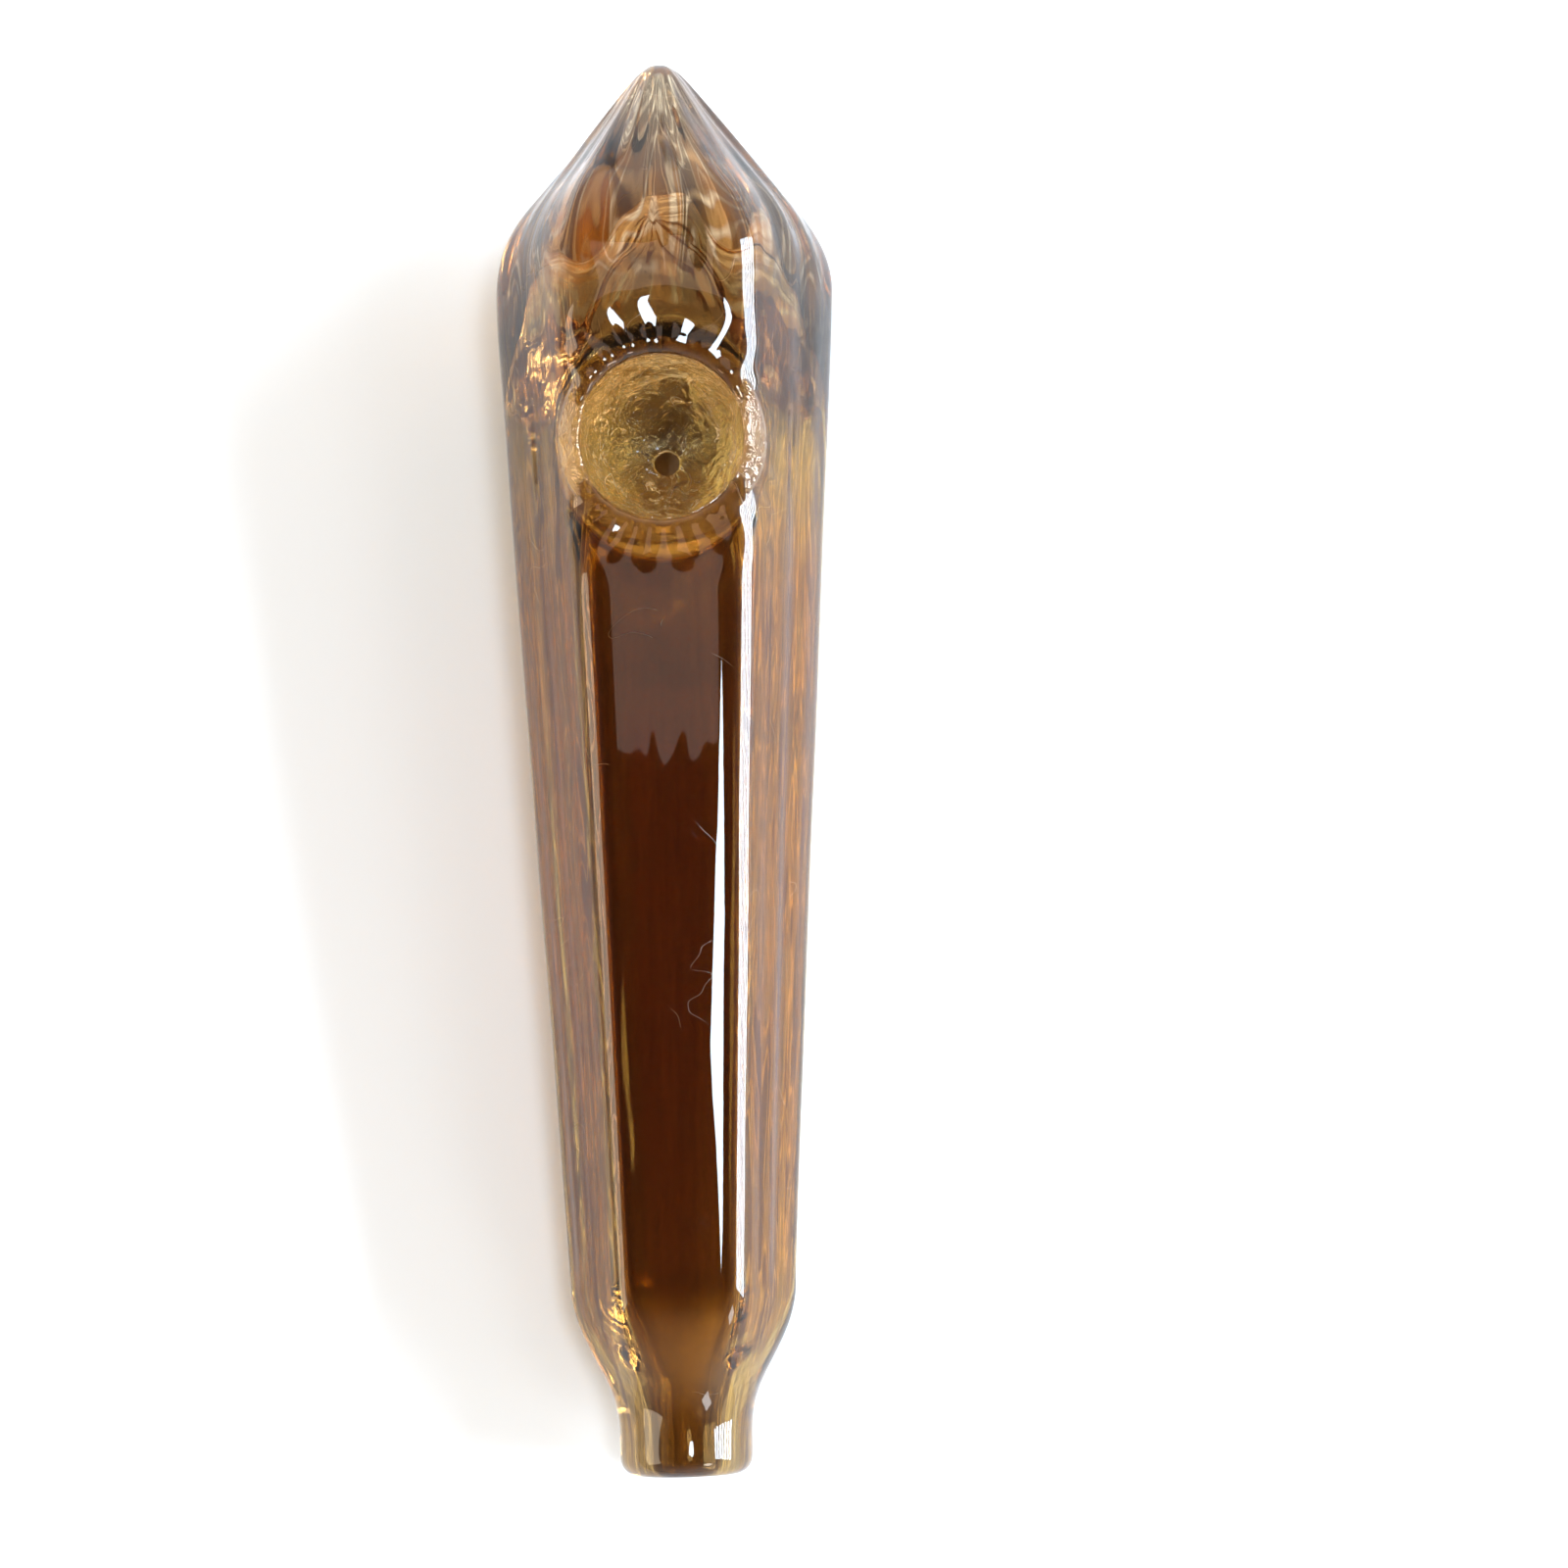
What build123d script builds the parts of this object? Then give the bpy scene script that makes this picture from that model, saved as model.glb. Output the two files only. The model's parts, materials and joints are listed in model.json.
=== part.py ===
"""Glass hand pipe in the form of a crystal point, lying on its back facet with the bowl up.

A tapered six-sided tube of glass runs from a round mouthpiece to a solid faceted point. A bowl with
a draught hole is sunk through the front facet into the smoke chamber. Millimetres, +Z up, the point
towards +Y, the origin under the middle of the whole pipe.
"""

import os
from math import atan, cos, degrees, radians, sin, tan

from build123d import *

# ---- driving dimensions ----------------------------------------------------------------------
LENGTH = 105.0              # mouth to tip, along the body axis
LIP_END = 1.0               # the fire-polished lip ends here
NECK_END = 4.0              # the round neck ends and the shoulder starts
SHOULDER_END = 13.0         # the shoulder has become the six-sided barrel
BARREL_END = 87.0           # the barrel ends and the solid point starts
CROWN_EDGE = 89.4           # the middle of the rounded edge between barrel and crown
CROWN_START = 91.6          # the crown's facets run straight from here to the tip
TIP_START = 103.2           # the crown's facets end in a small rounded tip

RIDGE_R_BOTTOM = 8.3        # body axis to the rounded ridges, at SHOULDER_END
RIDGE_R_TOP = 13.3          # the same, at BARREL_END
RIDGE_R_CROWN_EDGE = 12.95
RIDGE_R_CROWN = 11.9
RIDGE_R_TIP = 2.75
RIDGE_ROUNDING = 2.4        # radius of the barrel's rounded ridges
SOFT_SHARE = 0.80           # the same as a share of the ridge's distance, where the section is nearly round
SIDES = 6

NECK_R = 4.75               # outside of the round neck
SHOULDER_R_LOW = 6.2        # body axis to the shoulder's ridges, a third of the way up
SHOULDER_R_HIGH = 7.6       # the same, two thirds of the way up
BORE_R = 2.5                # the air passage through the mouthpiece
LIP_ROUNDING = 0.9
BORE_EDGE_ROUNDING = 0.5

CHAMBER_R_BOTTOM = 5.6      # the smoke chamber inside the barrel
CHAMBER_R_TOP = 9.8
DOME_START = 80.0           # the chamber's paraboloid end
DOME_END = 91.8

BOWL_AT = 73.5              # the bowl's centre along the body axis, on the front facet
BOWL_R = 5.85               # the straight part of the bowl's inside
BOWL_STRAIGHT = 4.0         # depth at which the straight part turns into the round bottom
BOWL_BOTTOM = 7.5           # height of the half-elliptical bottom, inside
BOWL_WALL = 1.45
BOWL_RIM_DEPTH = 1.5        # height of the ring that is flared out and fused to the facet
BOWL_FLARE = 0.7
DRAUGHT_HOLE_R = 0.95
BLANK_RISE = 3.0            # how far the bowl's cutting bodies stand above the facet
QUARTER_HANDLE = 0.5523     # length of a Bezier handle that makes a quarter of an ellipse

# ---- the body's lines ------------------------------------------------------------------------


def sharp_radius(ridge_r, rounding=RIDGE_ROUNDING):
    """Circumradius of the sharp hexagon whose rounded ridges lie ridge_r from its centre."""
    return ridge_r + rounding * (1 / cos(radians(30)) - 1)


def apothem(ridge_r, rounding=RIDGE_ROUNDING):
    """Distance from the centre to a facet."""
    return sharp_radius(ridge_r, rounding) * cos(radians(30))


taper = atan((apothem(RIDGE_R_TOP) - apothem(RIDGE_R_BOTTOM)) / (BARREL_END - SHOULDER_END))
apothem_at_mouth = apothem(RIDGE_R_BOTTOM) - SHOULDER_END * tan(taper)
along = Vector(0, cos(taper), sin(taper))           # the body axis, from the mouth to the tip
front = Vector(0, -sin(taper), cos(taper))          # square to it, towards the bowl's side
mouth_centre = Vector(
    0,
    -(LENGTH * cos(taper) - NECK_R * sin(taper)) / 2,
    apothem_at_mouth * cos(taper),
)
body_axis = Axis(mouth_centre, along)
length_section = Plane(origin=mouth_centre, x_dir=(1, 0, 0), z_dir=front)   # (radius, distance)


def cross_plane(distance):
    """The plane square to the body axis at a distance from the mouth."""
    return Plane(origin=mouth_centre + along * distance, x_dir=(1, 0, 0), z_dir=along)


def hexagon(distance, ridge_r, rounding=RIDGE_ROUNDING):
    """A hexagon with rounded ridges and one facet to the front, as a sketch on its cross plane."""
    with BuildSketch(cross_plane(distance)) as section:
        RegularPolygon(radius=sharp_radius(ridge_r, rounding), side_count=SIDES)
        fillet(section.vertices(), radius=rounding)
    return section.sketch


bowl_normal = Vector(0, -sin(2 * taper), cos(2 * taper))
bowl_centre = mouth_centre + along * BOWL_AT + front * (apothem_at_mouth + BOWL_AT * tan(taper))
bowl_axis = Axis(bowl_centre, bowl_normal)
bowl_plane = Plane(origin=bowl_centre, x_dir=(1, 0, 0), z_dir=bowl_normal)
bowl_section = Plane(origin=bowl_centre, x_dir=(1, 0, 0), z_dir=Vector(1, 0, 0).cross(bowl_normal))



def bowl_profile(radius, bottom, mouth):
    """Half of a cup's outline: mouth points, a straight side and a half-elliptical bottom."""
    with BuildSketch(bowl_section) as profile:
        with BuildLine():
            Polyline((0, -BOWL_STRAIGHT - bottom), (0, BLANK_RISE), *mouth, (radius, -BOWL_STRAIGHT))
            Bezier(
                (radius, -BOWL_STRAIGHT),
                (radius, -BOWL_STRAIGHT - QUARTER_HANDLE * bottom),
                (QUARTER_HANDLE * radius, -BOWL_STRAIGHT - bottom),
                (0, -BOWL_STRAIGHT - bottom),
            )
        make_face()
    return profile.sketch


# ---- hollows and blanks that several pieces share --------------------------------------------

# The air passage: neck bore, widening shoulder, tapered chamber and its paraboloid end.
with BuildPart() as smoke_chamber:
    with BuildSketch(length_section):
        with BuildLine():
            Polyline(
                (0, DOME_END), (0, 0), (BORE_R, 0), (BORE_R, NECK_END),
                (CHAMBER_R_BOTTOM, SHOULDER_END), (CHAMBER_R_TOP, DOME_START),
            )
            Bezier((CHAMBER_R_TOP, DOME_START), (CHAMBER_R_TOP / 2, DOME_END), (0, DOME_END))
        make_face()
    revolve(axis=body_axis)

# The whole outside of the bowl cup: a straight wall with a half-elliptical bottom.
outer_r = BOWL_R + BOWL_WALL
outer_bottom = BOWL_BOTTOM + BOWL_WALL
with BuildPart() as bowl_blank:
    add(bowl_profile(outer_r, outer_bottom, [(outer_r, BLANK_RISE)]))
    revolve(axis=bowl_axis)

# The inside of the bowl, flared at its mouth, with the draught hole through the bottom.
flare_r = BOWL_R + BOWL_FLARE
with BuildPart() as bowl_hollow:
    add(bowl_profile(BOWL_R, BOWL_BOTTOM, [(flare_r, BLANK_RISE), (flare_r, 0), (BOWL_R, -BOWL_RIM_DEPTH)]))
    revolve(axis=bowl_axis)
    with BuildSketch(bowl_plane):
        Circle(DRAUGHT_HOLE_R)
    extrude(amount=-(BOWL_STRAIGHT + outer_bottom + BLANK_RISE))

# The barrel's outside, without any hollow: a round bar cut by six flat facets, its ridges rounded.
with BuildPart() as barrel_blank:
    with BuildSketch(cross_plane(SHOULDER_END)):
        Circle(2 * RIDGE_R_TOP)
    extrude(amount=BARREL_END - SHOULDER_END)
    for side in range(SIDES):
        outwards = front.rotate(body_axis, 360 / SIDES * side)
        facet = Plane(
            origin=mouth_centre + outwards * apothem_at_mouth,
            x_dir=along.cross(outwards),
            z_dir=outwards * cos(taper) - along * sin(taper),
        )
        split(bisect_by=facet, keep=Keep.BOTTOM)
    ridges = [e for e in barrel_blank.edges() if e.length > (BARREL_END - SHOULDER_END) / 2]
    fillet(ridges, radius=RIDGE_ROUNDING)

# ---- the pieces ------------------------------------------------------------------------------

# Solid point: the rounded crown edge, six facets and the small round tip.
with BuildPart() as crystal_point:
    loft(sections=[
        hexagon(BARREL_END, RIDGE_R_TOP),
        hexagon(CROWN_EDGE, RIDGE_R_CROWN_EDGE),
        hexagon(CROWN_START, RIDGE_R_CROWN),
        hexagon(TIP_START, RIDGE_R_TIP, RIDGE_R_TIP * SOFT_SHARE),
    ], ruled=True)
    tip_r = apothem(RIDGE_R_TIP, RIDGE_R_TIP * SOFT_SHARE)
    with BuildSketch(length_section):
        with BuildLine():
            Polyline((0, LENGTH), (0, TIP_START), (tip_r, TIP_START))
            Bezier((tip_r, TIP_START), (tip_r * 0.6, LENGTH), (0, LENGTH))
        make_face()
    revolve(axis=body_axis)
    add(smoke_chamber.part, mode=Mode.SUBTRACT)

# Barrel: the tapered six-sided tube, open where the bowl is sunk through its front facet.
with BuildPart() as barrel:
    add(barrel_blank.part)
    add(smoke_chamber.part, mode=Mode.SUBTRACT)
    add(bowl_blank.part, mode=Mode.SUBTRACT)

# Bowl wall: the whole cup as far as the barrel's outside, before it is cut in two.
with BuildPart() as bowl_wall:
    add(bowl_blank.part)
    add(barrel_blank.part, mode=Mode.INTERSECT)
    add(bowl_hollow.part, mode=Mode.SUBTRACT)

# Bowl rim: the flared ring at the top, and bowl cup: all that hangs below it in the chamber.
rim_floor = bowl_plane.offset(-BOWL_RIM_DEPTH)
with BuildPart() as bowl_rim:
    add(bowl_wall.part)
    split(bisect_by=rim_floor, keep=Keep.TOP)

with BuildPart() as bowl_cup:
    add(bowl_wall.part)
    split(bisect_by=rim_floor, keep=Keep.BOTTOM)

# Shoulder: from the round neck to the six-sided barrel.
with BuildPart() as shoulder:
    loft(sections=[
        hexagon(NECK_END, NECK_R, NECK_R * SOFT_SHARE),
        hexagon((2 * NECK_END + SHOULDER_END) / 3, SHOULDER_R_LOW, SHOULDER_R_LOW * SOFT_SHARE),
        hexagon((NECK_END + 2 * SHOULDER_END) / 3, SHOULDER_R_HIGH),
        hexagon(SHOULDER_END, RIDGE_R_BOTTOM),
    ], ruled=True)
    add(smoke_chamber.part, mode=Mode.SUBTRACT)

# Neck: the round tube that is held to the mouth.
with BuildPart() as mouthpiece_neck:
    with BuildSketch(cross_plane(LIP_END)):
        Circle(NECK_R)
        Circle(BORE_R, mode=Mode.SUBTRACT)
    extrude(amount=NECK_END - LIP_END)

# Lip: the fire-polished end of the neck, rounded outside and inside.
with BuildPart() as mouth_lip:
    with BuildSketch(cross_plane(0)):
        Circle(NECK_R)
        Circle(BORE_R, mode=Mode.SUBTRACT)
    extrude(amount=LIP_END)
    end_edges = mouth_lip.faces().sort_by(body_axis)[0].edges().sort_by(SortBy.RADIUS)
    fillet(end_edges[-1], radius=LIP_ROUNDING)
    end_edges = mouth_lip.faces().sort_by(body_axis)[0].edges().sort_by(SortBy.RADIUS)
    fillet(end_edges[0], radius=BORE_EDGE_ROUNDING)

# ---- labels and files ------------------------------------------------------------------------

os.makedirs("parts", exist_ok=True)
pieces = {
    "crystal_point": crystal_point,
    "barrel": barrel,
    "bowl_rim": bowl_rim,
    "bowl_cup": bowl_cup,
    "shoulder": shoulder,
    "mouthpiece_neck": mouthpiece_neck,
    "mouth_lip": mouth_lip,
}
for name, piece in pieces.items():
    piece.part.label = name
    export_step(piece.part, f"parts/{name}.step")

whole = Compound(children=[piece.part for piece in pieces.values()]).bounding_box()
print("taper", round(degrees(taper), 3), "apothem at mouth", round(apothem_at_mouth, 3))
print("bounds", whole.min, whole.max)
print("mouth", mouth_centre, "bowl", bowl_centre, "bowl normal", bowl_normal, "along", along)
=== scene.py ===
"""The looks of a hollow amber glass hand pipe in the form of a pointed crystal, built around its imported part."""

import json
import math

import bmesh
import bpy
import numpy as np
from mathutils import Matrix, Vector


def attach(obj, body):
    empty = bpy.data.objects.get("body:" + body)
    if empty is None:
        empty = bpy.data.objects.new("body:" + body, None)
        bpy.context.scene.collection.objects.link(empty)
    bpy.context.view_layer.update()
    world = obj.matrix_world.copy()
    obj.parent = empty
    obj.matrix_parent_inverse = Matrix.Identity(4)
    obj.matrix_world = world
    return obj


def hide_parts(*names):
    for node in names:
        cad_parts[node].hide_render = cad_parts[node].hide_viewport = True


bl_info = {
    "name": "Amber Glass Hand Pipe",
    "version": (1, 0, 0),
    "blender": (4, 5, 0),
    "location": "View3D > Sidebar > Glass Pipe",
    "description": "Builds the looks of a hollow amber glass hand pipe",
    "category": "Object",
}

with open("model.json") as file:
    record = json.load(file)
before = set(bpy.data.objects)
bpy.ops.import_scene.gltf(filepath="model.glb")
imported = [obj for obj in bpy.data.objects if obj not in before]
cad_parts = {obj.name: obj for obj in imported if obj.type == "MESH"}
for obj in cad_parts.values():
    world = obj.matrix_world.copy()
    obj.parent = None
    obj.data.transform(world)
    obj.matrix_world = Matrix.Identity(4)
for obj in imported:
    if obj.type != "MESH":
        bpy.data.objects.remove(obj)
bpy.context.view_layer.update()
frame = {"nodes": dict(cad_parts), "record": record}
MM = 0.001

# The pipe's own axes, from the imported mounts: along runs from the mouth to the tip, and lengths are in millimetres.
MOUNTS = {mount["name"]: mount for mount in frame["record"]["mounts"]}
MOUTH_BORE, BOWL_SOCKET = MOUNTS["mouth_bore"], MOUNTS["bowl_socket"]
BORE_INSET, SOCKET_INSET = 2.25, 2.75
RIGHT = np.array([1.0, 0.0, 0.0])
ALONG = -np.array(MOUTH_BORE["axis"], float)
UP = np.cross(RIGHT, ALONG)
MOUTH = np.array(MOUTH_BORE["pos_m"], float) / MM - BORE_INSET * ALONG
BOWL_UP = np.array(BOWL_SOCKET["axis"], float)
BOWL_ALONG = np.cross(BOWL_UP, RIGHT)
BOWL = np.array(BOWL_SOCKET["pos_m"], float) / MM + SOCKET_INSET * BOWL_UP
BOWL_RADIUS = BOWL_SOCKET["dims"]["r_mm"]
BORE_RADIUS = MOUTH_BORE["dims"]["r_mm"]
NECK_RADIUS = MOUNTS["neck_outside"]["dims"]["r_mm"]
TAPER = ALONG[2] / ALONG[1]
FACET_AT_MOUTH = MOUTH[2] / ALONG[1] - 0.02
TIP = 104.98
BOWL_AT = float((BOWL - MOUTH) @ ALONG)
COLUMNS = 180
CUP_MARK_REACH, CUP_MARK_TOP, CUP_MARK_END = 1.6, 1.2, 14.0


# ---------------------------------------------------------------- sizes and colours


def length(name, description, default):
    """A length that a user may change, in metres, from its default in millimetres."""
    return bpy.props.FloatProperty(name=name, description=description, default=default * MM, min=0, unit="LENGTH", precision=5)


def colour(name, description, default):
    """A colour that a user may change, in linear light."""
    return bpy.props.FloatVectorProperty(name=name, description=description, default=default, size=3, min=0, max=1,
                                         subtype="COLOR")


class PipeSizes(bpy.types.PropertyGroup):
    """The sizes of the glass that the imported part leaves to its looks."""

    wall: length("Wall", "Thickness of the barrel's wall at the middle of a facet", 0.85)
    chamber_end: length("Chamber end", "Distance from the mouth to the end of the chamber's dome", 91.8)
    dish_depth: length("Dish depth", "How far the facet sinks around the bowl", 0.45)
    dish_reach: length("Dish reach", "How far from the bowl's rim the facet begins to sink", 4.2)
    cup_wall: length("Cup wall", "Thickness of the bowl's wall", 1.45)
    cup_depth: length("Cup depth", "Depth of the bowl below its facet", 11.5)
    draught_hole: length("Draught hole", "Radius of the hole in the bottom of the bowl", 0.95)
    unevenness: length("Unevenness", "How far the hand-worked surface wanders from its true form", 0.09)
    cup_waves: length("Cup waves", "How far the bowl's wall waves in and out", 0.22)
    pucker: length("Pucker", "Depth of the fine folds round the bowl's rim", 0.13)
    draw_line: length("Draw lines", "Depth of the long lines along the barrel's sides", 0.19)
    groove: length("Groove", "Depth of the crown's hand-pulled grooves", 0.46)
    ridge_sharpness: bpy.props.FloatProperty(name="Ridge sharpness", description="Higher is a sharper ridge",
                                             default=13, min=4, max=60)


class GlassColours(bpy.types.PropertyGroup):
    """The colours and the finish of the amber glass."""

    gold: colour("Gold skin", "Tint of the barrel's outer surface", (0.34, 0.19, 0.034))
    # Umber is both a darker random band and painted shade laid on the ridges
    umber_and_ridge_shade: colour("Umber skin", "Darker bands of the barrel's outer surface", (0.09, 0.036, 0.006))
    facet: colour("Facet skin", "Tint of the facets that face straight up and down", (0.34, 0.175, 0.030))
    olive_skin: colour("Olive skin", "Greyer bands of the barrel's outer surface", (0.24, 0.165, 0.045))
    cup: colour("Cup", "Tint of the bowl's wall", (0.96, 0.82, 0.54))
    dome: colour("Dome skin", "Tint of the outer surface over the chamber's dome", (0.045, 0.022, 0.005))
    # Painted glow: orange patches at the ridges where the crown meets the barrel
    painted_glow: colour("Ember patches", "Orange patches where the crown meets the barrel", (0.86, 0.34, 0.06))
    # Painted highlight: thin bright lines along the barrel's sides
    painted_side_highlight: colour("Gold lines", "Thin bright lines along the barrel's sides", (0.97, 0.62, 0.15))
    # Painted highlight: pale streaks over the crown, and the glints painted in the bowl
    painted_streak_highlight: colour("Straw streaks", "Pale streaks that run over the crown to the tip", (1.0, 0.94, 0.72))
    crown: colour("Crown skin", "Tint of the crown's outer surface", (0.19, 0.145, 0.095))
    amber: colour("Amber film", "Deepest colour of the film on the chamber's wall", (0.66, 0.315, 0.026))
    brown: colour("Brown film", "Paler draw marks in the film", (0.86, 0.47, 0.075))
    olive: colour("Olive film", "Colour of the film at the dome", (0.92, 0.78, 0.48))
    body: colour("Body colour", "Colour that thick glass takes on", (0.80, 0.60, 0.38))
    body_density: bpy.props.FloatProperty(name="Body density", description="Depth of the body colour, per metre",
                                          default=62, min=0)


class StageLook(bpy.types.PropertyGroup):
    """The floor, lights and camera."""

    floor: colour("Floor", "Colour of the floor", (0.92, 0.92, 0.92))
    daylight: colour("Daylight", "Colour of the window's light", (0.74, 0.87, 1.0))
    distance: length("Camera distance", "From the camera to the middle of the pipe", 230)
    tilt: bpy.props.FloatProperty(name="Camera tilt", description="Lean of the camera towards the mouth",
                                  default=math.radians(11.5), subtype="ANGLE")
    roll: bpy.props.FloatProperty(name="Camera roll", description="Turn of the camera about its own axis",
                                  default=math.radians(-1.47), subtype="ANGLE")
    field: bpy.props.FloatProperty(name="Camera field", description="Angle of view",
                                   default=math.radians(28.40), subtype="ANGLE")


# ---------------------------------------------------------------- the glass as surfaces


def millimetres(group):
    """A group's lengths in millimetres, and its other values as they are, by name."""
    kinds = group.bl_rna.properties
    names = [name for name in kinds.keys() if name not in ("rna_type", "name")]
    return {name: getattr(group, name) / (MM if kinds[name].unit == "LENGTH" else 1) for name in names}


def place(right, up, along):
    """Points of the frame in millimetres: the mouth's centre plus the three distances along the pipe's own axes."""
    return MOUTH + right[..., None] * RIGHT + up[..., None] * UP + along[..., None] * ALONG


def ease(x):
    """An S-curve from 0 to 1: three x squared less two x cubed."""
    x = np.clip(x, 0, 1)
    return x * x * (3 - 2 * x)


def soft_least(a, b, reach):
    """The lesser of two values, rounded over where they come within reach of each other."""
    share = np.clip(0.5 + 0.5 * (b - a) / reach, 0, 1)
    return b + (a - b) * share - reach * share * (1 - share)


def six_sided(angle, sharpness):
    """A section's radius over its facet distance: the norm of the six facet cosines, 1 at a facet's middle.
    A sharpness of 2 is a circle and a high one a hexagon with rounded ridges."""
    facets = np.radians(60) * np.arange(6)
    cosines = np.maximum(np.cos(angle[..., None] - facets), 0)
    power = sharpness[..., None]
    norm = (cosines**power).sum(-1) ** (1 / sharpness)
    middle = (1 + 2 * 0.5**sharpness) ** (1 / sharpness)
    return middle / norm


def facet_line(along):
    """The barrel's facet distance from the axis, which grows evenly from the mouth."""
    return FACET_AT_MOUTH + TAPER * along


CROWN_SLOPE, TIP_BLUNTNESS, CROWN_ROUNDING = 0.722, 2.0, 2.6
NECK_END, SHOULDER_END = 2.4, 13.2
SHOULDER_LOW = 2.0


def crown_line(along):
    """The crown's facet distance: a cone whose tip is rounded, from the cubes of the distance left and the bluntness."""
    left = np.maximum(TIP - along, 0) + TIP_BLUNTNESS
    return CROWN_SLOPE * np.cbrt(left**3 - TIP_BLUNTNESS**3)


def wander(angle, along):
    """Hand-worked unevenness from 0 to 1: slow waves that run round and along the glass."""
    return 0.5 + 0.17 * (np.sin(2 * angle + along / 7.0) + np.sin(3 * angle - along / 11.0 + 1.3)
                         + np.sin(angle + along / 3.7 + 0.6))


def flutes(angle, along):
    """Fine hand-pulled grooves of the crown, from 0 to 1, that run to the tip: waves round the glass whose phase drifts
    along it, over the crown only."""
    waves = (np.sin(13 * angle + along / 3.1) + np.sin(8 * angle - along / 5.3 + 0.9) + np.sin(21 * angle + along / 6.0))
    return (0.5 + waves / 6) * ease((along - 83) / 9) * ease((TIP - along) / 6)


def draw_lines(angle, along):
    """Long shallow lines that the glass was drawn with, from 0 to 1: waves round the sides that keep their angle along
    the barrel, none on the facets that face straight up and down."""
    waves = (np.sin(12 * angle + 0.5) + np.sin(17 * angle + along / 40) + np.sin(23 * angle - along / 55 + 2.0))
    return (0.5 + waves / 6) * ease((np.abs(np.sin(angle)) - 0.50) / 0.25) * ease((along - 9) / 8)


def outer_skin(size, angle, along):
    """The outside of the glass: a six-sided section whose facet distance is the barrel's or the crown's, whichever
    is less, narrowed by an S-curve to the round neck, with grooves in the crown and the facet sunk in a dish around
    the bowl."""
    shoulder = ease((along - NECK_END) / (SHOULDER_END - NECK_END))
    facet = soft_least(facet_line(along), crown_line(along), CROWN_ROUNDING)
    facet = NECK_RADIUS + (facet - NECK_RADIUS) * shoulder
    near_tip = ease((along - 86) / 18)
    sharpness = SHOULDER_LOW * (size["ridge_sharpness"] / SHOULDER_LOW) ** ease((along - NECK_END) / 9)
    sharpness = sharpness * (0.5 ** near_tip)
    radius = facet * six_sided(angle, sharpness)
    radius = radius - size["unevenness"] * wander(angle, along) * shoulder * (1 - near_tip)
    radius = radius - size["groove"] * flutes(angle, along) - size["draw_line"] * draw_lines(angle, along)
    points = place(radius * np.sin(angle), radius * np.cos(angle), along)
    return points - size["dish_depth"] * dish(size, points)[..., None] * BOWL_UP


def dish(size, points):
    """How far a point sinks around the bowl, from 0 to 1 at the rim: an S-curve of its distance from the bowl's axis."""
    side, ahead, height = bowl_view(points)
    away = np.hypot(side, ahead)
    start = rim_radius(size) + size["dish_reach"]
    return ease((start - away) / size["dish_reach"]) * (height > -BOWL_RADIUS)


def rim_radius(size):
    """The radius at which the facet turns down into the bowl."""
    return BOWL_RADIUS + 1.5


def bowl_view(points):
    """Distances from the bowl's centre to the right, along its facet and out of it."""
    offset = points - BOWL
    return offset @ RIGHT, offset @ BOWL_ALONG, offset @ BOWL_UP


def bowl_place(away, turn, height):
    """Points at a distance from the bowl's axis, at an angle round it and a height above its facet."""
    side, ahead = away * np.cos(turn), away * np.sin(turn)
    return BOWL + side[..., None] * RIGHT + ahead[..., None] * BOWL_ALONG + height[..., None] * BOWL_UP


def inner_skin(size, angle, along):
    """The inside of the glass: a straight bore that opens by an S-curve into a soft six-sided chamber a wall's
    thickness inside the barrel, closed by a dome whose radius is the root of the distance left."""
    opening = ease((along - 3.2) / 10.5)
    chamber = facet_line(along) - size["wall"]
    dome = np.sqrt(7.4 * np.maximum(size["chamber_end"] - along, 0))
    facet = soft_least(chamber, dome, 1.6)
    facet = BORE_RADIUS + (facet - BORE_RADIUS) * opening
    sharpness = 2 + 38 * opening**2 * (1 - ease((along - 78) / 13))
    radius = facet * six_sided(angle, sharpness)
    return place(radius * np.sin(angle), radius * np.cos(angle), along)


class Shell:
    """Points and faces of one closed glass surface, gathered patch by patch."""

    def __init__(self):
        self.points, self.film, self.faces, self.total = [], [], [], 0

    def add(self, points, film):
        """Adds a patch's points with how much film they carry, and gives their numbers in the patch's own shape."""
        shape = points.shape[:-1]
        numbers = self.total + np.arange(int(np.prod(shape))).reshape(shape)
        self.points.append(points.reshape(-1, 3))
        self.film.append(np.broadcast_to(film, shape).reshape(-1))
        self.total += numbers.size
        return numbers

    def join(self, rows, wanted=None):
        """Faces between rows of numbers that close on themselves, except where wanted is false."""
        onward = np.roll(rows, -1, axis=1)
        quads = np.stack([rows[:-1], onward[:-1], onward[1:], rows[1:]], -1)
        quads = quads.reshape(-1, 4) if wanted is None else quads[wanted]
        self.faces.extend(quads.tolist())

    def cap(self, ring, pole):
        """Triangles from a ring to its pole."""
        onward = np.roll(ring, -1)
        self.faces.extend(np.stack([ring, onward, np.full_like(ring, pole)], -1).tolist())


def window_edge(numbers, low_row, high_row, half_columns):
    """The numbers round a rectangle cut out of a wrapped grid whose column 0 is its middle, from the middle of its
    right side towards the tip and round."""
    middle = (low_row + high_row) // 2
    up_right = [(row, half_columns) for row in range(middle, high_row)]
    top = [(high_row, column) for column in range(half_columns, -half_columns, -1)]
    down_left = [(row, -half_columns) for row in range(high_row, low_row, -1)]
    bottom = [(low_row, column) for column in range(-half_columns, half_columns)]
    rest = [(row, half_columns) for row in range(low_row, middle)]
    row, column = np.array(up_right + top + down_left + bottom + rest).T
    return numbers[row, column], row, column


def window_cells(shape, low_row, high_row, half_columns):
    """True for the faces of a wrapped grid that stay when its rectangle is cut out."""
    keep = np.ones((shape[0] - 1, shape[1]), bool)
    columns = np.arange(-half_columns, half_columns) % shape[1]
    keep[low_row:high_row, columns] = False
    return keep


def between(first, last, steps):
    """Evenly spaced steps after the first value up to and with the last."""
    return np.linspace(first, last, steps + 1)[1:]


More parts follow.
